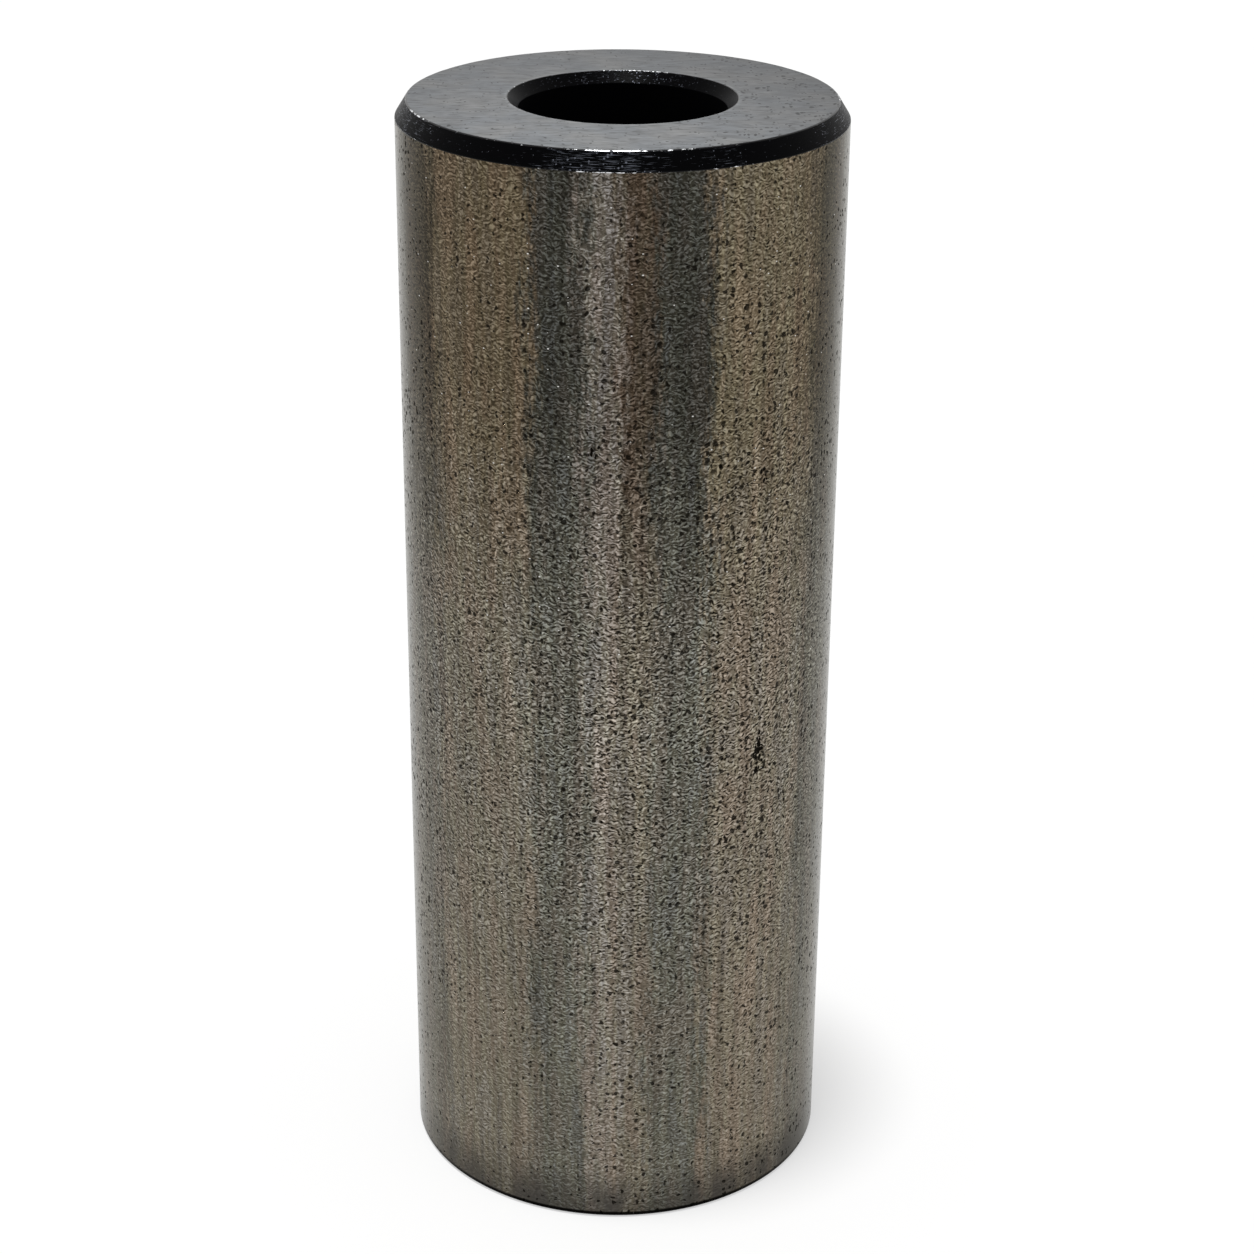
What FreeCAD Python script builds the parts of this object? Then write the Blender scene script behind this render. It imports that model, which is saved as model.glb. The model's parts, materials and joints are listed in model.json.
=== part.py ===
import FreeCAD, Part
import os

# Plain steel bushing, turned from bar in one piece, hardened and then ground on its outside and ends.
# All sizes are in millimetres. The origin is the centre of the foot's end face, and +Z is the axis.

# Outside of the wall
outer_diameter = 50.0
length = 130.0

# Lead-in chamfer round the upper end, longer than it is deep, so that the bushing starts
# straight when it is pressed into its housing
lead_in_length = 2.0
lead_in_depth = 1.25

# Edge break round the foot, only enough to take off the burr
foot_break = 0.3

# Bore for the pin, right through, with an even chamfer at each mouth
bore_diameter = 23.0
bore_chamfer = 1.2


def wall_outline():
    """Corners of the wall's half section, from the foot's inner edge round the outside to the bore."""
    outer_radius = outer_diameter / 2
    bore_radius = bore_diameter / 2
    mouth_radius = bore_radius + bore_chamfer
    foot_face = [
        (mouth_radius, 0.0),
        (outer_radius - foot_break, 0.0),
    ]
    ground_outside = [
        (outer_radius, foot_break),
        (outer_radius, length - lead_in_length),
    ]
    upper_face = [
        (outer_radius - lead_in_depth, length),
        (mouth_radius, length),
    ]
    bore_wall = [
        (bore_radius, length - bore_chamfer),
        (bore_radius, bore_chamfer),
    ]
    return foot_face + ground_outside + upper_face + bore_wall


def turned_wall(outline):
    """Solid of revolution about the Z axis from (radius, height) corners."""
    corners = [FreeCAD.Vector(radius, 0, height) for radius, height in outline]
    section = Part.Face(Part.makePolygon(corners + corners[:1]))
    axis_point = FreeCAD.Vector(0, 0, 0)
    axis = FreeCAD.Vector(0, 0, 1)
    full_turn = 360
    return section.revolve(axis_point, axis, full_turn)


def export(shape, node):
    """Write one sub-part to parts/NODE.step."""
    os.makedirs("parts", exist_ok=True)
    shape.exportStep(os.path.join("parts", node + ".step"))


bushing = turned_wall(wall_outline())
export(bushing, "bushing")
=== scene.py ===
"""Looks of a hardened steel bushing that stands on its end: ground outside and end faces, black
chamfers and bore, and a pale studio round it. Lengths are in metres unless a name or comment says
millimetres, and azimuths are counted from the front, positive to the right."""

import json
from collections import namedtuple
from math import cos, pi, radians, sin

import bpy
import numpy as np
from mathutils import Matrix, Vector


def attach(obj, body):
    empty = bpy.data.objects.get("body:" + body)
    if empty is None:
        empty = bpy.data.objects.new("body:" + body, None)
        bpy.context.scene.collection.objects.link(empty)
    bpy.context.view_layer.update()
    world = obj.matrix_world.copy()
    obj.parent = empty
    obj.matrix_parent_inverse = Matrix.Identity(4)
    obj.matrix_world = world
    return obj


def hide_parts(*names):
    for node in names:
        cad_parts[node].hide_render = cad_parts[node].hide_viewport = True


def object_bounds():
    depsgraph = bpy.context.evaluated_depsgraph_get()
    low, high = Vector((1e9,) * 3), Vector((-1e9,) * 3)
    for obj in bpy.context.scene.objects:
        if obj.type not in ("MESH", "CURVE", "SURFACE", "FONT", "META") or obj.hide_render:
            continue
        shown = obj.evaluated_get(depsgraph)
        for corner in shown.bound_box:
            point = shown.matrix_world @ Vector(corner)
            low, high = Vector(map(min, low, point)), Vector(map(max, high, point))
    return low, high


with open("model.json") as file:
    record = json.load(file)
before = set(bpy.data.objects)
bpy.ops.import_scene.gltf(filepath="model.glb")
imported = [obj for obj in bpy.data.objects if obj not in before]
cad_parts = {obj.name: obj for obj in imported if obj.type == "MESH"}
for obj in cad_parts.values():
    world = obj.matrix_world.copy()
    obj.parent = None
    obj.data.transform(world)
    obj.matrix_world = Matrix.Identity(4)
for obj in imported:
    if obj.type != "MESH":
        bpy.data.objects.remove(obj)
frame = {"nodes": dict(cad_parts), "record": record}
cad_low, cad_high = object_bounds()

MM = 0.001
TOUCH = 0.001 * MM  # what is nearer than this is in one place
NODE = "bushing"
mounts = {mount["name"]: mount for mount in frame["record"]["mounts"]}
bore_mount = mounts["bore"]
outside_mount = mounts["outside"]

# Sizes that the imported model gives
length = cad_high[2] - cad_low[2]
outer_radius = outside_mount["dims"]["r_mm"] * MM
bore_radius = bore_mount["dims"]["r_mm"] * MM
wall_half = outside_mount["dims"]["length_mm"] * MM / 2
wall_foot = outside_mount["pos_m"][2] - wall_half
wall_top = outside_mount["pos_m"][2] + wall_half
bore_chamfer = (length - bore_mount["dims"]["length_mm"] * MM) / 2
mouth_radius = bore_radius + bore_chamfer


def upper_face_radius():
    """Outer radius of the upper end face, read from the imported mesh."""
    mesh = frame["nodes"][NODE].data
    at_top = [v.co for v in mesh.vertices if abs(v.co.z - cad_high[2]) < TOUCH]
    return max(Vector((v.x, v.y)).length for v in at_top)


face_radius = upper_face_radius()


# The mesh

# A corner of the turned profile: where it is, and how far wear has rounded it
Corner = namedtuple("Corner", "name radius height rounding")

# The stretch of the profile that follows a corner: its material, the spacing of its rings and its
# share of the texture's height
Stretch = namedtuple("Stretch", "name material spacing share")

# A dent in the ground wall: azimuth of its middle in degrees from the front, and in millimetres its
# height, length, width and depth; lean is its slant in degrees from upright
Scar = namedtuple("Scar", "azimuth height long wide deep lean")

# A place where a corner or chamfer is rubbed bright, and on the front also painted glints and
# reflections: the azimuth of its middle and its half width in degrees, and how strongly, from 0 to 1
Wear = namedtuple("Wear", "name azimuth half strength")

MATERIALS = ("ground_wall", "ground_face", "black_scale", "bore_wall", "worn_edge")

CORNERS = (
    Corner("foot_mouth", mouth_radius, 0, 0.10 * MM),
    Corner("foot_rim", outer_radius - wall_foot, 0, 0.08 * MM),
    Corner("wall_foot", outer_radius, wall_foot, 0.08 * MM),
    Corner("wall_top", outer_radius, wall_top, 0.15 * MM),
    Corner("rim", face_radius, length, 0.22 * MM),
    Corner("mouth", mouth_radius, length, 0.15 * MM),
    Corner("bore_top", bore_radius, length - bore_chamfer, 0.12 * MM),
    Corner("bore_foot", bore_radius, bore_chamfer, 0.12 * MM),
)

STRETCHES = (
    Stretch("foot_face", "ground_face", 3.0 * MM, 0.07),
    Stretch("foot_break", "black_scale", 0.15 * MM, 0.005),
    Stretch("wall", "ground_wall", 1.0 * MM, 0.74),
    Stretch("lead_in", "black_scale", 0.4 * MM, 0.02),
    Stretch("upper_face", "ground_face", 2.0 * MM, 0.08),
    Stretch("mouth_chamfer", "black_scale", 0.3 * MM, 0.015),
    Stretch("bore", "bore_wall", 12.0 * MM, 0.055),
    Stretch("foot_chamfer", "black_scale", 0.5 * MM, 0.015),
)

BRIGHT_CORNERS = ("wall_top", "rim", "mouth")

SEGMENTS = 360
ROUNDING_STEPS = 3
STRAIGHT_SHARE = 0.98  # of a stretch's texture; the rounding after it has the rest

# Rings this close to each rounding keep the shading of the flat stretch beside it flat
SUPPORT = 0.03 * MM
GUARD = 0.12 * MM

# Knocks along the corners: a random number with a spread of 1 makes one where it passes the threshold,
# and one of full depth where it passes that by the stretch
NICK_SEED = 7
NICK_DEPTH = 0.07 * MM
NICK_THRESHOLD = 0.8
NICK_STRETCH = 1.5

SCAR_FULL = 0.105 * MM  # from this depth on, a scar is as dark as scars get

SCARS = (
    Scar(39.6, 59.6, 6.2, 1.4, 0.18, 4),
    Scar(38.7, 93.2, 3.8, 1.2, 0.10, -12),
    Scar(39.7, 106.2, 1.6, 1.2, 0.09, 0),
    Scar(50.1, 101.3, 1.8, 1.2, 0.09, 20),
    Scar(50.5, 83.0, 13.0, 1.1, 0.075, 3),
    Scar(50.1, 52.0, 16.0, 1.1, 0.075, -4),
    Scar(51.6, 29.0, 8.0, 1.2, 0.08, -6),
    Scar(49.6, 22.6, 4.4, 1.3, 0.09, 14),
    Scar(44.2, 18.0, 2.8, 1.3, 0.10, 30),
    Scar(28.0, 71.0, 3.0, 1.3, 0.09, 70),
    Scar(-2.0, 105.0, 2.6, 1.5, 0.09, 60),
    Scar(-6.1, 97.9, 3.2, 1.4, 0.10, 35),
    Scar(-10.4, 92.6, 2.4, 1.0, 0.09, -50),
    Scar(-47.1, 100.4, 1.4, 1.0, 0.08, 0),
    Scar(-32.6, 100.2, 2.2, 0.9, 0.09, 40),
    Scar(-20.3, 83.6, 1.8, 1.0, 0.09, 10),
    Scar(-34.9, 53.8, 2.2, 0.9, 0.09, 80),
    Scar(112.0, 88.0, 3.8, 1.1, 0.12, 5),
    Scar(118.0, 41.0, 2.6, 1.1, 0.10, -20),
    Scar(158.0, 66.0, 2.0, 1.2, 0.09, 40),
    Scar(-171.0, 97.0, 2.8, 1.0, 0.12, 8),
    Scar(-143.0, 31.0, 3.4, 1.0, 0.11, -8),
    Scar(-128.0, 74.0, 1.8, 1.2, 0.09, 30),
    Scar(-96.0, 109.0, 2.2, 1.0, 0.09, 15),
)

# Bright places: rubbed wear, and the front ones also painted glints and reflections
RUBS_AND_GLINTS = (
    Wear("rim", -150, 16, 0.8), Wear("rim", -68, 8, 0.9), Wear("rim", -22, 12, 0.35),
    Wear("rim", -2, 10, 1.0), Wear("rim", 15, 4, 0.8), Wear("rim", 98, 12, 0.7),
    Wear("rim", 160, 8, 0.6),
    Wear("lead_in", -132, 12, 0.8), Wear("lead_in", -74, 14, 0.7), Wear("lead_in", -64, 10, 0.6),
    Wear("lead_in", -5, 16, 0.85), Wear("lead_in", 25, 7, 0.45), Wear("lead_in", 67, 12, 0.4),
    Wear("lead_in", 78, 10, 0.7), Wear("lead_in", 118, 14, 0.8),
    Wear("wall_top", -140, 14, 0.8), Wear("wall_top", -4, 9, 1.0), Wear("wall_top", 30, 8, 0.5),
    Wear("wall_top", 120, 10, 0.8),
    Wear("mouth", -110, 18, 0.5), Wear("mouth", 0, 75, 0.6), Wear("mouth", 172, 20, 1.0),
    Wear("mouth_chamfer", 180, 50, 0.42),
)
RUB_AND_GLINT_FALLOFF = 4  # the higher it is, the more suddenly a bright place ends


def unit(vector):
    """The vector's direction, with a length of 1."""
    return vector / np.linalg.norm(vector)


def rounding(before, corner, after):
    """Points of the arc that rounds a corner between its two neighbours."""
    place, back_place, ahead_place = (np.array(c[1:3]) for c in (corner, before, after))
    back = unit(back_place - place)
    ahead = unit(ahead_place - place)
    half_angle = np.arccos(back @ ahead) / 2
    centre = place + unit(back + ahead) * corner.rounding / np.sin(half_angle)
    reach = corner.rounding / np.tan(half_angle)
    start = place + back * reach - centre
    end = place + ahead * reach - centre
    turn = np.arctan2(start[0] * end[1] - start[1] * end[0], start @ end)
    arc = []
    for angle in np.linspace(0, turn, ROUNDING_STEPS + 1):
        spin = np.array(((cos(angle), -sin(angle)), (sin(angle), cos(angle))))
        arc.append(centre + spin @ start)
    return arc


def stretch_points(start, end, spacing):
    """Points along a straight stretch, with two that keep the shading flat beside each end."""
    run = np.linalg.norm(end - start)
    inner = max(1, round((run - 2 * GUARD) / spacing))
    along = [0.0, SUPPORT, *np.linspace(GUARD, run - GUARD, inner + 1), run - SUPPORT, run]
    return [start + unit(end - start) * distance for distance in along]


def profile_rings():
    """The rings round the section: their places, and of the band that starts at each its name, its
    material's number and the texture's height."""
    count = len(CORNERS)
    arcs = [rounding(CORNERS[i - 1], CORNERS[i], CORNERS[(i + 1) % count]) for i in range(count)]
    points, names, materials, heights = [], [], [], []
    height = 0.0
    for i, stretch in enumerate(STRETCHES):
        following = CORNERS[(i + 1) % count]
        arc = arcs[(i + 1) % count]
        places = stretch_points(arcs[i][-1], arc[0], stretch.spacing)
        run = np.linalg.norm(places[-1] - places[0])
        bands, bends = len(places) - 1, len(arc) - 1
        edge = "worn_edge" if following.name in BRIGHT_CORNERS else stretch.material
        points += places[:-1] + arc[:-1]
        names += [stretch.name] * bands + [following.name] * bends
        materials += [MATERIALS.index(stretch.material)] * bands + [MATERIALS.index(edge)] * bends
        straight = stretch.share * STRAIGHT_SHARE
        heights += [height + straight * np.linalg.norm(p - places[0]) / run for p in places[:-1]]
        heights += list(height + np.linspace(straight, stretch.share, bends, False))
        height += stretch.share
    return np.array(points), np.array(names), materials, heights


def turned_from(azimuths, degrees):
    """How far each azimuth is from a direction, in radians, from -pi to pi."""
    return (azimuths - radians(degrees) + pi) % (2 * pi) - pi


def scar_depths(azimuths, heights):
    """How deep the scars cut the ground wall, in metres, at each azimuth and height."""
    depth = np.zeros((len(heights), len(azimuths)))
    for scar in SCARS:
        across = turned_from(azimuths, scar.azimuth)[None] * outer_radius / MM
        up = (heights[:, None] / MM) - scar.height
        lean = radians(scar.lean)
        along = up * cos(lean) + across * sin(lean)
        aside = across * cos(lean) - up * sin(lean)
        reach = (along / (scar.long / 2)) ** 2 + (aside / (scar.wide / 2)) ** 2
        depth = np.maximum(depth, scar.deep * MM * np.exp(-reach))
    return depth


def rub_and_glint_shares(azimuths, names):
    """How bright each ring is rubbed, and on the front painted, at each azimuth, from 0 to 1."""
    shares = np.zeros((len(names), len(azimuths)))
    for bright_place in RUBS_AND_GLINTS:
        reach = turned_from(azimuths, bright_place.azimuth) / radians(bright_place.half)
        here = bright_place.strength * np.exp(-reach ** RUB_AND_GLINT_FALLOFF)
        shares[names == bright_place.name] = np.maximum(shares[names == bright_place.name], here)
    return shares


def nick_depths(names):
    """Small knocks along the corners of the upper end, in metres."""
    chance = np.random.default_rng(NICK_SEED)
    depth = np.zeros((len(names), SEGMENTS))
    for corner in BRIGHT_CORNERS:
        past = chance.normal(0, 1, SEGMENTS) - NICK_THRESHOLD
        knocks = np.clip(past, 0, NICK_STRETCH) / NICK_STRETCH
        soft = (np.roll(knocks, 1) + 2 * knocks + np.roll(knocks, -1)) / 4
        depth[names == corner] = NICK_DEPTH * soft
    return depth


def grid_places(points, names, azimuths):
    """Vertices ring by ring, with the scars and nicks cut in, and the share of each that is scar."""
    scars = np.zeros((len(points), SEGMENTS))
    on_wall = points[:, 0] > outer_radius - TOUCH
    scars[on_wall] = scar_depths(azimuths, points[on_wall, 1])
    nicks = nick_depths(names)
    inward = np.where(names == "mouth", -1.0, 1.0)[:, None]
    radii = points[:, :1] - scars - nicks * inward
    places = np.empty((len(points), SEGMENTS, 3))
    places[..., 0] = radii * np.sin(azimuths)
    places[..., 1] = -radii * np.cos(azimuths)
    places[..., 2] = points[:, 1:] - nicks
    return places, (scars / SCAR_FULL).clip(0, 1)


def grid_quads(rings):
    """The vertices' numbers round each quad. The last ring joins the first."""
    ring, segment = np.arange(rings)[:, None], np.arange(SEGMENTS)[None]
    next_ring, next_segment = (ring + 1) % rings, (segment + 1) % SEGMENTS
    corners = ((ring, segment), (ring, next_segment), (next_ring, next_segment), (next_ring, segment))
    return np.stack([r * SEGMENTS + s for r, s in corners], axis=2).reshape(-1, 4)


def grid_uv(heights):
    """Texture places: the azimuth across, the way round the section upward, the seam at the back."""
    tops = np.array([*heights, 1.0])
    left = np.arange(SEGMENTS) / SEGMENTS
    uv = np.empty((len(heights), SEGMENTS, 4, 2))
    uv[:, :, (0, 3), 0] = left[None, :, None]
    uv[:, :, (1, 2), 0] = left[None, :, None] + 1 / SEGMENTS
    uv[:, :, (0, 1), 1] = tops[:-1, None, None]
    uv[:, :, (2, 3), 1] = tops[1:, None, None]
    return uv.ravel()


def add_share(mesh, name, values):
    """Let the mesh carry a share from 0 to 1 on its vertices, which a material can read."""
    layer = mesh.attributes.new(name, "FLOAT", "POINT")
    layer.data.foreach_set("value", values.ravel())


def bushing_mesh():
    """The turned body as one closed mesh, with its materials' numbers on its faces."""
    points, names, materials, heights = profile_rings()
    azimuths = (np.arange(SEGMENTS) / SEGMENTS - 0.5) * 2 * pi
    places, scarred = grid_places(points, names, azimuths)
    mesh = bpy.data.meshes.new("bushing_steel")
    mesh.from_pydata(places.reshape(-1, 3).tolist(), [], grid_quads(len(points)).tolist())
    mesh.polygons.foreach_set("material_index", np.repeat(materials, SEGMENTS))
    mesh.shade_smooth()
    mesh.uv_layers.new(name="OFBake").data.foreach_set("uv", grid_uv(heights))
    add_share(mesh, "scarred", scarred)
    add_share(mesh, "worn", rub_and_glint_shares(azimuths, names))
    return mesh


# Materials. Places and heights in them are in millimetres

# A noise: features to a millimetre across and up, octaves, and how rough they are
Noise = namedtuple("Noise", "across up octaves rough")

# Gabor noise: short wavy strokes to a millimetre across and up, and how far they keep to one way
Strokes = namedtuple("Strokes", "across up run")

# Round spots, one to a cell of a Voronoi pattern: cells to a millimetre across and up, the least and
# the largest radius in cells, and how soft the rims are. A cell whose radius is well below 0 has none
Spots = namedtuple("Spots", "across up least largest soft")

# A step: what comes out rises or falls between two values while the input goes from low to high
Step = namedtuple("Step", "low high at_low at_high")

# Most of a noise's values lie between these two
NOISE_LOW = 0.25
NOISE_HIGH = 0.75
NOISE_MIDDLE = (0.5, 0.5, 0.5)  # of a noise's colour


def srgb(red, green, blue):
    """A colour as it shows on screen, 0 to 255, as the linear colour that a shader wants."""
    shares = (c / 255 for c in (red, green, blue))
    return (*(s / 12.92 if s <= 0.04045 else ((s + 0.055) / 1.055) ** 2.4 for s in shares), 1.0)


class Graph:
    """A material's nodes, built up as expressions: each method adds a node and gives its output."""

    def __init__(self, name):
        self.material = bpy.data.materials.new(name)
        self.material.use_nodes = True
        self.tree = self.material.node_tree
        self.tree.nodes.clear()

    def add(self, kind, inputs, output=0, **settings):
        """Add a node, link or set its inputs, and give one of its outputs, or the node if it has none."""
        node = self.tree.nodes.new(kind)
        for key, value in settings.items():
            setattr(node, key, value)
        for key, value in inputs.items():
            socket = node.inputs[key]
            if isinstance(value, bpy.types.NodeSocket):
                self.tree.links.new(value, socket)
            else:
                socket.default_value = value[:3] if socket.type == "VECTOR" else value
        return node.outputs[output] if node.outputs else node

    def math(self, operation, *values):
        return self.add("ShaderNodeMath", dict(enumerate(values)), operation=operation)

    def times(self, *values):
        product = values[0]
        for value in values[1:]:
            product = self.math("MULTIPLY", product, value)
        return product

    def plus(self, *values):
        total = values[0]
        for value in values[1:]:
            total = self.math("ADD", total, value)
        return total

    def vector(self, operation, *values):
        return self.add("ShaderNodeVectorMath", dict(enumerate(values)), operation=operation)

    def scaled(self, vector, factor):
        """A vector or colour times a number."""
        return self.add("ShaderNodeVectorMath", {0: vector, "Scale": factor}, operation="SCALE")

    def position(self):
        """Place on the object, in millimetres."""
        return self.scaled(self.add("ShaderNodeTexCoord", {}, "Object"), 1 / MM)

    def parts(self, place):
        """The three numbers of a place or colour."""
        node = self.add("ShaderNodeSeparateXYZ", {0: place}).node
        return node.outputs[0], node.outputs[1], node.outputs[2]

    def azimuth(self, place):
        """Angle round the axis from the front, in radians."""
        x, y = self.parts(place)[:2]
        return self.math("ARCTAN2", x, self.times(y, -1.0))

    def unrolled(self, place):
        """The wall rolled out flat: millimetres round its outside, and millimetres up it."""
        around = self.times(self.azimuth(place), outer_radius / MM)
        return self.add("ShaderNodeCombineXYZ", {0: around, 1: self.parts(place)[2]})

    def noise(self, place, noise, output="Fac"):
        """A noise of a place's first two numbers, from about 0 to 1."""
        inputs = {"Vector": self.vector("MULTIPLY", place, (noise.across, noise.up, 0)), "Scale": 1.0,
                  "Detail": noise.octaves, "Roughness": noise.rough}
        return self.add("ShaderNodeTexNoise", inputs, output, noise_dimensions="2D")

    def solid_noise(self, place, noise):
        """A noise in all three directions, without a seam at the back."""
        inputs = {"Vector": self.vector("MULTIPLY", place, (noise.across, noise.across, noise.up)),
                  "Scale": 1.0, "Detail": noise.octaves, "Roughness": noise.rough}
        return self.add("ShaderNodeTexNoise", inputs, noise_dimensions="3D")

    def strokes(self, place, strokes, lay):
        """Gabor noise whose strokes run mostly across the direction lay, in radians."""
        inputs = {"Vector": self.vector("MULTIPLY", place, (strokes.across, strokes.up, 0)),
                  "Scale": 1.0, "Frequency": 1.0, "Anisotropy": strokes.run, "Orientation": lay}
        return self.add("ShaderNodeTexGabor", inputs, "Value", gabor_type="2D")

    def warped(self, place, noise, reach):
        """A place pushed about by up to half of reach, in millimetres."""
        push = self.vector("SUBTRACT", self.noise(place, noise, "Color"), NOISE_MIDDLE)
        return self.vector("ADD", place, self.scaled(push, reach))

    def spots(self, place, spots, swell=0.0):
        """Share of spot, from 0 to 1; swell is added to every radius."""
        inputs = {"Vector": self.vector("MULTIPLY", place, (spots.across, spots.up, 0)), "Scale": 1.0}
        cell = self.add("ShaderNodeTexVoronoi", inputs, voronoi_dimensions="2D").node
        chance = self.parts(cell.outputs["Color"])[0]
        radius = self.plus(self.range(chance, 0, 1, spots.least, spots.largest, False), swell)
        depth = self.math("SUBTRACT", radius, cell.outputs["Distance"])
        return self.range(depth, -spots.soft, spots.soft)

    def range(self, value, low, high, at_low=0.0, at_high=1.0, smooth=True):
        """What a Step says, with smooth ends or straight from end to end."""
        inputs = {0: value, 1: low, 2: high, 3: at_low, 4: at_high}
        kind = "SMOOTHSTEP" if smooth else "LINEAR"
        return self.add("ShaderNodeMapRange", inputs, interpolation_type=kind)

    def sway(self, noise, spread):
        """A factor about 1, which a noise moves by up to spread either way."""
        return self.range(noise, NOISE_LOW, NOISE_HIGH, 1 - spread, 1 + spread, False)

    def shift(self, noise, reach):
        """A number about 0, which a noise moves by up to reach either way."""
        return self.range(noise, 0, 1, -reach, reach, False)

    def ramp(self, factor, stops):
        """The colour that the stops give a factor from 0 to 1, and its alpha."""
        node = self.add("ShaderNodeValToRGB", {0: factor}).node
        elements = node.color_ramp.elements
        factors, colours = zip(*stops)
        while len(elements) < len(stops):
            elements.new(1.0)
        for element, at in zip(elements, factors):
            element.position = at
        for element, colour in zip(elements, colours):
            element.color = colour
        return node.outputs["Color"], node.outputs["Alpha"]

    def mix(self, factor, first, second):
        """The first colour where the factor is 0, the second where it is 1."""
        inputs = {0: factor, 6: first, 7: second}
        return self.add("ShaderNodeMix", inputs, 2, data_type="RGBA")

    def share(self, name):
        """A share from 0 to 1 that the mesh carries."""
        return self.add("ShaderNodeAttribute", {}, "Fac", attribute_name=name)

    def bump(self, height_mm):
        """The surface's direction with a relief on it, whose height is in millimetres."""
        height = self.times(height_mm, MM)
        return self.add("ShaderNodeBump", {"Height": height, "Distance": 1.0, "Strength": 1.0})

    def finish(self, inputs):
        """Give the material its surface."""
        self.output(self.add("ShaderNodeBsdfPrincipled", inputs))
        return self.material

    def output(self, shader):
        node = self.tree.nodes.new("ShaderNodeOutputMaterial")
        self.tree.links.new(shader, node.inputs["Surface"])


# A tint of the ground wall near the upper end and near the foot, how strongly the grain marks it, and
# the share of the grain that is dark dashes on a light ground instead of light strokes on a dark one
Tint = namedtuple("Tint", "high low grain dashes")

TINTS = {
    "tan": Tint(srgb(90, 80, 65), srgb(111, 105, 94), 0.9, 0.2),
    "straw": Tint(srgb(102, 93, 77), srgb(115, 107, 95), 1.12, 0.5),
    "umber": Tint(srgb(56, 49, 38), srgb(98, 94, 86), 1.1, 0.3),
    "smoke": Tint(srgb(56, 50, 38), srgb(91, 88, 80), 1.1, 0.3),
    "slate": Tint(srgb(60, 59, 54), srgb(96, 94, 86), 1.0, 0.0),
    "pale": Tint(srgb(104, 98, 91), srgb(120, 114, 105), 1.05, 0.2),
    "brown": Tint(srgb(70, 61, 51), srgb(111, 104, 93), 1.05, 0.2),
    "ash": Tint(srgb(81, 79, 73), srgb(96, 95, 90), 1.0, 0.3),
}

# The bands are partly patina and partly a painted reflection of the studio
# Bands of tint that run up the ground wall: where each begins, in degrees from the front
BANDS = (
    (-180, "slate"), (-160, "tan"), (-122, "slate"), (-98, "ash"), (-72, "umber"), (-54, "tan"),
    (-23, "slate"), (-8.5, "pale"), (0, "brown"), (8, "slate"), (23.5, "straw"), (49, "tan"),
    (56.5, "smoke"), (71, "ash"), (98, "tan"), (140, "slate"),
)
BAND_BLEND = 4.5  # degrees over which two bands run into each other

# The high tints are darker and the low ones lighter as a painted reflection: dim studio above, white
# floor below
# Below the first height a band has its low tint, and above the second its high one
LOW_TINT_BELOW = 66
HIGH_TINT_ABOVE = 106

# Noises that make the bands' edges wander and fray, and how far: in degrees round the wall, and in
# millimetres up it
BAND_WANDER = Noise(0.5, 0.08, 2.0, 0.5)
BAND_RAGS = Noise(1.8, 0.54, 2.0, 0.7)
WANDER_DEGREES = 5
RAGS_DEGREES = 6
RAGS_HEIGHT = 20

# Narrow columns of hue within the bands
HUE_COLUMNS = Noise(0.5, 0.06, 2.0, 0.6)
HUES = (
    (0.36, (0.96, 0.99, 1.03, 1)), (0.46, (0.98, 1.01, 0.96, 1)), (0.54, (1.0, 1.0, 1.0, 1)),
    (0.64, (1.03, 0.985, 0.97, 1)),
)


def band_stops(colour_field, alpha_field):
    """Stops of a colour ramp over the whole turn, with a short blend at each band's edges. Two fields of
    the tints give their colour and their alpha."""
    stops = []
    for i, (start, name) in enumerate(BANDS):
        end = BANDS[i + 1][0] if i + 1 < len(BANDS) else 180
        tint = TINTS[name]
        colour = (*getattr(tint, colour_field)[:3], getattr(tint, alpha_field))
        for azimuth in (start + BAND_BLEND / 2, end - BAND_BLEND / 2):
            stops.append(((azimuth + 180) / 360, colour))
    return stops


# The bands are partly patina and partly a painted reflection of the studio
def banded_tint(g, place, flat, height):
    """Tint of the ground wall in upright bands with ragged edges, how strongly the grain marks it, and
    the share of dark dashes."""
    rags = g.noise(flat, BAND_RAGS)
    azimuth = g.plus(g.math("DEGREES", g.azimuth(place)), g.shift(rags, RAGS_DEGREES),
                     g.shift(g.noise(flat, BAND_WANDER), WANDER_DEGREES))
    turn = g.range(azimuth, -180, 180, 0, 1, False)
    raised = g.plus(height, g.shift(rags, RAGS_HEIGHT))
    low_tint, strength = g.ramp(turn, band_stops("low", "grain"))
    high_tint, dashes = g.ramp(turn, band_stops("high", "dashes"))
    # darker high up and lighter towards the foot: painted reflection
    tint = g.mix(g.range(raised, LOW_TINT_BELOW, HIGH_TINT_ABOVE), low_tint, high_tint)
    hue = g.ramp(g.noise(flat, HUE_COLUMNS), HUES)[0]
    return g.vector("MULTIPLY", tint, hue), strength, dashes


# Two layers of fine strokes, each bent by a noise of its own. Clouds turn the way that they run
FIRST_STROKES = Strokes(1.52, 2.3, 0.35)
FIRST_BEND = Noise(1.0, 1.0, 1.0, 0.5)
FIRST_REACH = 0.9
SECOND_STROKES = Strokes(1.9, 2.85, 0.15)
SECOND_BEND = Noise(1.3, 1.3, 1.0, 0.5)
SECOND_REACH = 0.6
FLOW = Step(0.35, 0.65, pi / 2 - 0.45, pi / 2 + 0.45)

# Light strokes on a dark ground: what each layer adds to a tone that is 1 on average
FIRST_LIGHT = Step(0.52, 0.64, 0.66, 2.05)
SECOND_LIGHT = Step(0.56, 0.66, 0.0, 0.95)
FIRST_DIPS = Step(0.34, 0.46, -0.4, 0.0)

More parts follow.
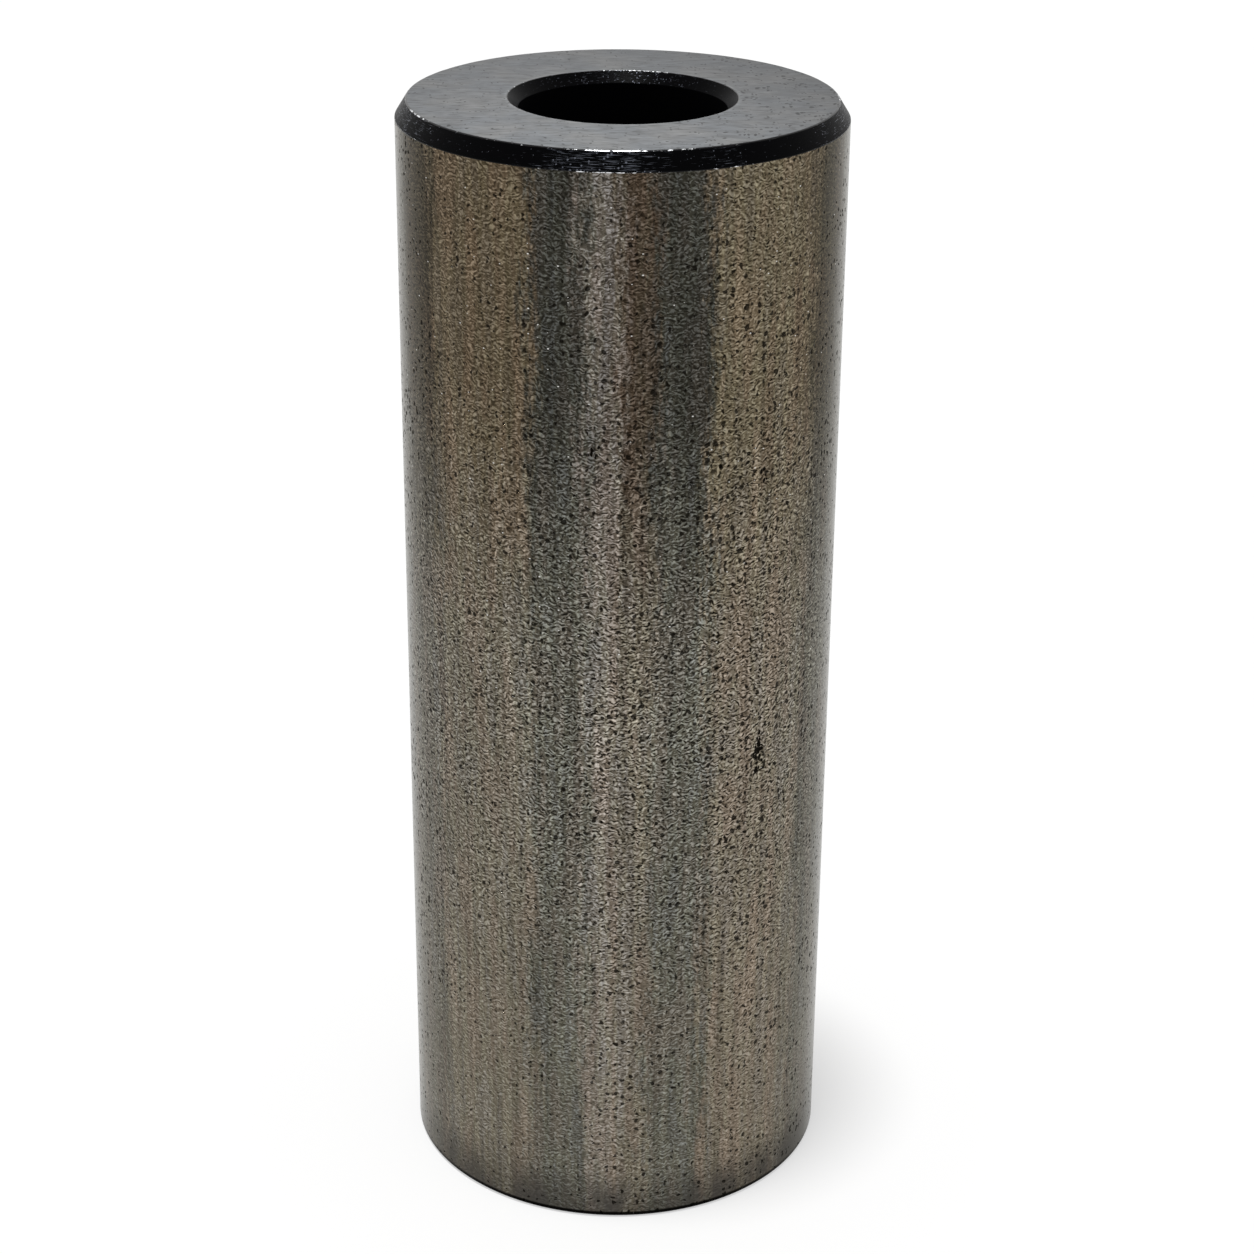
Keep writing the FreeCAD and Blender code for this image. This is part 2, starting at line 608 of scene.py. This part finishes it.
# Dark dashes on a light ground
FIRST_DASHES = Step(0.36, 0.47, 0.4, 1.12)
SECOND_DASHES = Step(0.34, 0.44, -0.5, 0.0)
FIRST_GLINTS = Step(0.54, 0.64, 0.0, 0.5)

DASHES_BELOW = Step(36, 106, 0.3, 0.0)  # the share of dark dashes is larger towards the foot
SOFT_TONE = Noise(1.9, 1.9, 1.0, 0.5)
SOFT_SPREAD = 0.2


def woven_grain(g, flat, height, clouds, dashes):
    """A maze of fine strokes, as a tone that is 1 on average."""
    flow = g.range(clouds, *FLOW)
    first = g.strokes(g.warped(flat, FIRST_BEND, FIRST_REACH), FIRST_STROKES, flow)
    second = g.strokes(g.warped(flat, SECOND_BEND, SECOND_REACH), SECOND_STROKES, flow)
    light = g.plus(g.range(first, *FIRST_LIGHT), g.range(second, *SECOND_LIGHT),
                   g.range(first, *FIRST_DIPS))
    dark = g.plus(g.range(first, *FIRST_DASHES), g.range(second, *SECOND_DASHES),
                  g.range(first, *FIRST_GLINTS))
    share = g.plus(dashes, g.range(height, *DASHES_BELOW))
    woven = g.plus(light, g.times(share, g.math("SUBTRACT", dark, light)))
    return g.times(woven, g.sway(g.noise(flat, SOFT_TONE), SOFT_SPREAD))


# Pits, and what the clouds, the height and the grain's strength add to their radii
PITS = Spots(1.15, 1.15, -0.15, 0.26, 0.06)
PITS_IN_CLOUDS = Step(0.4, 0.65, -0.04, 0.07)
PITS_NEAR_TOP = Step(90, 122, 0.01, -0.03)
PITS_NEAR_FOOT = Step(0, 55, -0.045, 0.0)
PITS_BY_GRAIN = 0.25
PIT_DARKNESS = 0.85

# Pits of the scars, which swell with the share of scar
SCAR_PITS = Spots(2.0, 1.4, -0.85, -0.3, 0.08)
SCAR_SWELL = 1.2

# Painted glints: small bright spots, fewer towards the foot
PAINTED_GLINTS = Spots(0.9, 1.4, -1.3, 0.1, 0.05)
PAINTED_GLINTS_LOW = Step(30, 75, -0.1, 0.0)


def pits_and_scars(g, flat, height, clouds, strength):
    """Share of pit or scar, from 0 to 1. Where the grain is weak, so are the pits."""
    bent = g.warped(flat, SECOND_BEND, SECOND_REACH)
    swell = g.plus(g.range(clouds, *PITS_IN_CLOUDS), g.range(height, *PITS_NEAR_TOP),
                   g.range(height, *PITS_NEAR_FOOT), g.times(g.plus(strength, -1.0), PITS_BY_GRAIN))
    pits = g.times(g.spots(bent, PITS, swell), PIT_DARKNESS)
    scars = g.spots(bent, SCAR_PITS, g.times(g.share("scarred"), SCAR_SWELL))
    return g.math("MAXIMUM", pits, scars)


# Upright streaks and large clouds in the tone, and how the grain's strength changes up the wall
STREAKS = Noise(0.9, 0.025, 3.0, 0.85)
STREAKS_SPREAD = 0.34
CLOUDS = Noise(0.13, 0.13, 3.0, 0.5)
CLOUDS_SPREAD = 0.1
GRAIN_FADES_UP = Step(65, 120, 1.22, 0.9)
GRAIN_FADES_DOWN = Step(10, 60, 0.6, 1.0)

# Last millimetres above the foot: painted shade, smooth slate patches, and a black painted contact shadow
PAINTED_FOOT_SHADE = Step(0.0, 8.0, 0.62, 1.0)
SLATE_NEAR_FOOT = Step(1.0, 7.5, 0.85, 0.0)
SLATE_PATCHES = Noise(0.13, 0.04, 2.0, 0.6)
SLATE_PATCH_STEP = Step(0.4, 0.58, 0.25, 1.0)
FOOT_SLATE = srgb(62, 60, 57)
PAINTED_CONTACT_SHADOW = Step(0.6, 0.82, 0.04, 1.0)

# The ground between the strokes is warmer than the strokes
WARM_GROUND = (1.05, 1.0, 0.93, 1)
COOL_STROKES = (0.97, 1.0, 1.06, 1)
STROKE_TONES = (0.5, 1.9)

PIT_BLACK = srgb(17, 14, 10)
PIT_DEPTH = 0.04
GLINT_WHITE = srgb(215, 214, 210)
WALL_ROUGHNESS = Step(0, 1, 0.2, 0.7)  # from plain wall to pit
WALL_EDGE_TINT = (0.79, 0.78, 0.755, 1)  # of what the wall reflects towards its outline


def ground_wall():
    """Ground outside: upright bands of tint under a maze of fine strokes, with pits and scars."""
    g = Graph("ground_wall")
    place = g.position()
    flat = g.unrolled(place)
    height = g.parts(place)[2]
    clouds = g.solid_noise(place, CLOUDS)
    tint, strength, dashes = banded_tint(g, place, flat, height)
    fade = g.times(g.range(height, *GRAIN_FADES_UP), g.range(height, *GRAIN_FADES_DOWN))
    grain = g.plus(woven_grain(g, flat, height, clouds, dashes), -1.0)
    grain = g.plus(1.0, g.times(strength, fade, grain))
    # darker over the last millimetres above the foot: painted shade
    tone = g.times(grain, g.range(height, *PAINTED_FOOT_SHADE), g.sway(g.noise(flat, STREAKS), STREAKS_SPREAD),
                   g.sway(clouds, CLOUDS_SPREAD))
    warmth = g.mix(g.range(grain, *STROKE_TONES), WARM_GROUND, COOL_STROKES)
    # slate patches over the last millimetres above the foot
    foot_slate_share = g.times(g.range(g.noise(flat, SLATE_PATCHES), *SLATE_PATCH_STEP), g.range(height, *SLATE_NEAR_FOOT))
    colour = g.mix(foot_slate_share, g.scaled(g.vector("MULTIPLY", tint, warmth), tone), FOOT_SLATE)
    dark = pits_and_scars(g, flat, height, clouds, strength)
    # pits, and a black line at the foot that is a painted contact shadow
    colour = g.scaled(g.mix(dark, colour, PIT_BLACK), g.range(height, *PAINTED_CONTACT_SHADOW))
    # small painted glints
    painted_glints = g.spots(flat, PAINTED_GLINTS, g.range(height, *PAINTED_GLINTS_LOW))
    colour = g.mix(painted_glints, colour, GLINT_WHITE)
    return g.finish({
        "Base Color": colour, "Metallic": 1.0, "Roughness": g.range(dark, *WALL_ROUGHNESS),
        "Specular Tint": WALL_EDGE_TINT, "Normal": g.bump(g.times(dark, -PIT_DEPTH)),
    })


FACE_STEEL = srgb(118, 120, 122)
FACE_LAY = Noise(0.3, 1.0, 3.0, 0.75)
FACE_LAY_SPREAD = 0.3
FACE_CLOUDS = Noise(0.16, 0.16, 3.0, 0.5)
FACE_CLOUDS_SPREAD = 0.1
FACE_HUES = ((0.35, (0.97, 1.0, 1.03, 1)), (0.65, (1.02, 1.0, 0.97, 1)))
FACE_BEND = Noise(0.3, 0.3, 1.0, 0.5)
FACE_REACH = 1.5
SCRATCHES = Noise(0.42, 4.0, 1.0, 0.5)
SCRATCH_STEP = Step(0.62, 0.72, 0.0, 0.85)
SCRATCH_GREY = srgb(52, 53, 54)
SPECKS = Spots(2.0, 1.3, -1.1, 0.26, 0.08)
SPECKS_AT_RIM = Step(17, 24, 0.0, 0.08)
SPECKS_AT_RIGHT = Step(2, 20, 0.0, 0.17)
SPECK_BLACK = srgb(8, 8, 8)
SPECK_DARKNESS = 0.85
SPECK_DEPTH = 0.02
FACE_ROUGHNESS = 0.45
BURNISH = Step(0.0, 0.6, 1.35, 1.0)  # over the first millimetre from the bore's mouth

# Painted light on the face: its tone on the axis, and how it changes with each millimetre to the
# right and to the back, and with the square of the millimetres to either side
PAINTED_SHEEN = 0.82
PAINTED_SHEEN_ACROSS = -0.005
PAINTED_SHEEN_BACK = -0.0112
PAINTED_SHEEN_EDGES = -0.0004


def ground_face():
    """Ground end face: grey steel with a fine straight lay, dark specks and short scratches."""
    g = Graph("ground_face")
    place = g.position()
    x, y = g.parts(place)[:2]
    from_axis = g.add("ShaderNodeVectorMath", {0: g.vector("MULTIPLY", place, (1, 1, 0))}, "Value",
                      operation="LENGTH")
    # painted light: brighter towards the front, darker to the back and the sides
    painted_sheen = g.plus(g.times(y, PAINTED_SHEEN_BACK), g.times(x, PAINTED_SHEEN_ACROSS), g.times(x, x, PAINTED_SHEEN_EDGES), PAINTED_SHEEN)
    clouds = g.noise(place, FACE_CLOUDS)
    tone = g.times(g.sway(g.noise(place, FACE_LAY), FACE_LAY_SPREAD), painted_sheen,
                   g.sway(clouds, FACE_CLOUDS_SPREAD),
                   g.range(g.plus(from_axis, -mouth_radius / MM), *BURNISH))
    hue = g.ramp(clouds, FACE_HUES)[0]
    colour = g.vector("MULTIPLY", g.scaled(FACE_STEEL, tone), hue)
    scratches = g.noise(g.warped(place, FACE_BEND, FACE_REACH), SCRATCHES)
    colour = g.mix(g.range(scratches, *SCRATCH_STEP), colour, SCRATCH_GREY)
    swell = g.plus(g.range(from_axis, *SPECKS_AT_RIM), g.range(x, *SPECKS_AT_RIGHT))
    specks = g.spots(g.warped(place, FACE_BEND, FACE_REACH), SPECKS, swell)
    colour = g.mix(g.times(specks, SPECK_DARKNESS), colour, SPECK_BLACK)
    return g.finish({
        "Base Color": colour, "Metallic": 1.0, "Roughness": FACE_ROUGHNESS,
        "Normal": g.bump(g.times(specks, -SPECK_DEPTH)),
    })


SCALE_BLACK = srgb(2, 2, 3)
SCALE_RUBBED_AND_GLINT = srgb(86, 89, 97)
SCALE_GLOSS = 0.02
SCALE_ROUGHNESS = 0.34
TURNING_MARKS = Noise(0.5, 18.0, 2.0, 0.6)
MARK_DEPTH = 0.01
RUB_AND_GLINT_STEP = Step(0.74, 0.87, 0.0, 1.0)
STREAKS_BY_RUB_AND_GLINT = 0.2
SCALE_SPECKS = Spots(2.6, 3.4, -1.2, 0.1, 0.08)
SPECKS_BY_RUB_AND_GLINT = 0.27
SCALE_GRIT = Noise(4.0, 4.0, 1.0, 0.5)
GRIT_DEPTH = 0.004


def black_scale():
    """Black chamfer: turning marks under heat scale, thin rubbed streaks and specks, and painted
    reflections.
    """
    g = Graph("black_scale")
    place = g.position()
    flat = g.unrolled(place)
    marks = g.noise(flat, TURNING_MARKS)
    # streaks rubbed through the scale, brighter on the front as painted reflections
    rubbed_and_glint_streaks = g.range(g.plus(marks, g.times(g.share("worn"), STREAKS_BY_RUB_AND_GLINT)), *RUB_AND_GLINT_STEP)
    specks = g.spots(flat, SCALE_SPECKS, g.times(g.share("worn"), SPECKS_BY_RUB_AND_GLINT))
    bright_share = g.math("MAXIMUM", rubbed_and_glint_streaks, specks)
    relief = g.plus(g.times(marks, MARK_DEPTH), g.times(g.noise(flat, SCALE_GRIT), GRIT_DEPTH))
    return g.finish({
        "Base Color": g.mix(bright_share, SCALE_BLACK, SCALE_RUBBED_AND_GLINT), "Metallic": bright_share,
        "Roughness": SCALE_ROUGHNESS, "Normal": g.bump(relief), "Specular IOR Level": SCALE_GLOSS,
    })


BORE_GRIT = Noise(1.5, 1.5, 2.0, 0.5)
BORE_SPREAD = 0.4
BORE_ROUGHNESS = 0.7


def bore_wall():
    """Wall of the bore: dull black scale all the way down."""
    g = Graph("bore_wall")
    grit = g.noise(g.unrolled(g.position()), BORE_GRIT)
    return g.finish({
        "Base Color": g.scaled(SCALE_BLACK, g.sway(grit, BORE_SPREAD)), "Metallic": 0.0,
        "Roughness": BORE_ROUGHNESS, "Specular IOR Level": SCALE_GLOSS,
    })


EDGE_DULL = srgb(30, 30, 31)
EDGE_BRIGHT = srgb(236, 238, 240)
EDGE_PATCHES = Noise(1.1, 2.6, 3.0, 0.75)
EDGE_STEP = Step(0.66, 0.8, 0.0, 1.0)
EDGE_ROUGHNESS = 0.3
BRIGHT_BY_RUB_AND_GLINT = 0.26


def worn_edge():
    """Corner of the upper end: black scale, rubbed to bright steel in places, and painted glints on the
    front.
    """
    g = Graph("worn_edge")
    patches = g.noise(g.unrolled(g.position()), EDGE_PATCHES)
    # rubbed to bright steel, and on the front painted glints
    bright_share = g.range(g.plus(patches, g.times(g.share("worn"), BRIGHT_BY_RUB_AND_GLINT)), *EDGE_STEP)
    return g.finish({
        "Base Color": g.mix(bright_share, EDGE_DULL, EDGE_BRIGHT), "Metallic": 1.0,
        "Roughness": EDGE_ROUGHNESS,
    })


def bushing_piece():
    """The one piece of the bushing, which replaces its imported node."""
    mesh = bushing_mesh()
    for make in (ground_wall, ground_face, black_scale, bore_wall, worn_edge):  # as in MATERIALS
        mesh.materials.append(make())
    steel = bpy.data.objects.new("bushing_steel", mesh)
    bpy.context.collection.objects.link(steel)
    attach(steel, "root")
    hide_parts(NODE)


# Studio

WHITE = (1, 1, 1, 1)
DOME_LIGHT = 0.436
SUN_LIGHT = 1.97
SUN_SPREAD = 0.124  # radians
SUN_PLACE = (-0.053, -0.034, 1.0)  # almost overhead, so that the bushing's shadow stays at its foot
FLOOR_RADIUS = 1.2
FLOOR_SEGMENTS = 96
FLOOR_GLOW = 0.532
FLOOR_DROP = 0.02 * MM

# The photograph's camera, fitted to the outline and rims of the bushing. Its angles are in radians
FOCAL_PX = 2801.6
FRAME_PX = 1254
SENSOR_MM = 36
YAW = 0.00322
PITCH = 0.41787
ROLL = -0.00836
CAMERA_PLACE = (-0.00004, -0.303875, 0.201354)
CAMERA_NEAR = 0.01
CAMERA_FAR = 20


def seen_directly(tree):
    """1 for what the camera sees, by itself, in reflections or through glass, and else 0."""
    path = tree.nodes.new("ShaderNodeLightPath")
    seen = path.outputs["Is Camera Ray"]
    for name in ("Is Glossy Ray", "Is Transmission Ray"):
        either = tree.nodes.new("ShaderNodeMath")
        either.operation = "MAXIMUM"
        tree.links.new(seen, either.inputs[0])
        tree.links.new(path.outputs[name], either.inputs[1])
        seen = either.outputs[0]
    return seen


def white_dome():
    """Soft light from all round, which is plain white where it is seen."""
    world = bpy.data.worlds.new("white_dome")
    world.use_nodes = True
    tree = world.node_tree
    tree.nodes.clear()
    strength = tree.nodes.new("ShaderNodeMapRange")
    strength.inputs["To Min"].default_value = DOME_LIGHT
    strength.inputs["To Max"].default_value = 1.0
    tree.links.new(seen_directly(tree), strength.inputs["Value"])
    shade = tree.nodes.new("ShaderNodeBackground")
    shade.inputs["Color"].default_value = WHITE
    tree.links.new(strength.outputs[0], shade.inputs["Strength"])
    out = tree.nodes.new("ShaderNodeOutputWorld")
    tree.links.new(shade.outputs[0], out.inputs["Surface"])
    bpy.context.scene.world = world


def soft_sun():
    """One soft light that puts the shadow at the foot."""
    data = bpy.data.lights.new("soft_sun", "SUN")
    data.energy = SUN_LIGHT
    data.angle = SUN_SPREAD
    lamp = bpy.data.objects.new("soft_sun", data)
    lamp.rotation_mode = "QUATERNION"
    lamp.rotation_quaternion = (-Vector(SUN_PLACE)).to_track_quat("-Z", "Y")
    bpy.context.collection.objects.link(lamp)


def white_floor():
    """Pale floor that glows where it is seen, so that it runs into the white behind it."""
    g = Graph("white_floor")
    diffuse = g.add("ShaderNodeBsdfDiffuse", {0: (1 - FLOOR_GLOW, 1 - FLOOR_GLOW, 1 - FLOOR_GLOW, 1)})
    glow = g.add("ShaderNodeEmission", {0: WHITE, 1: g.times(seen_directly(g.tree), FLOOR_GLOW)})
    g.output(g.add("ShaderNodeAddShader", {0: diffuse, 1: glow}))
    bpy.ops.mesh.primitive_circle_add(vertices=FLOOR_SEGMENTS, radius=FLOOR_RADIUS, fill_type="NGON",
                                      location=(0, 0, -FLOOR_DROP))
    ground = bpy.context.object
    ground.name = "floor"
    ground.data.materials.append(g.material)


def photo_camera():
    """The photograph's camera, on which the outline and rims of the bushing fall as they do there."""
    data = bpy.data.cameras.new("photo_camera")
    data.sensor_width = SENSOR_MM
    data.lens = SENSOR_MM * FOCAL_PX / FRAME_PX
    data.clip_start = CAMERA_NEAR
    data.clip_end = CAMERA_FAR
    camera = bpy.data.objects.new("photo_camera", data)
    bpy.context.collection.objects.link(camera)
    level = Matrix.Rotation(-YAW, 3, "Z") @ Matrix.Rotation(pi / 2 - PITCH, 3, "X")
    turn = level @ Matrix.Rotation(-ROLL, 3, "Z")
    camera.matrix_world = Matrix.Translation(CAMERA_PLACE) @ turn.to_4x4()
    bpy.context.scene.camera = camera


bushing_piece()
white_dome()
soft_sun()
white_floor()
photo_camera()
bpy.context.scene.view_settings.view_transform = "Standard"
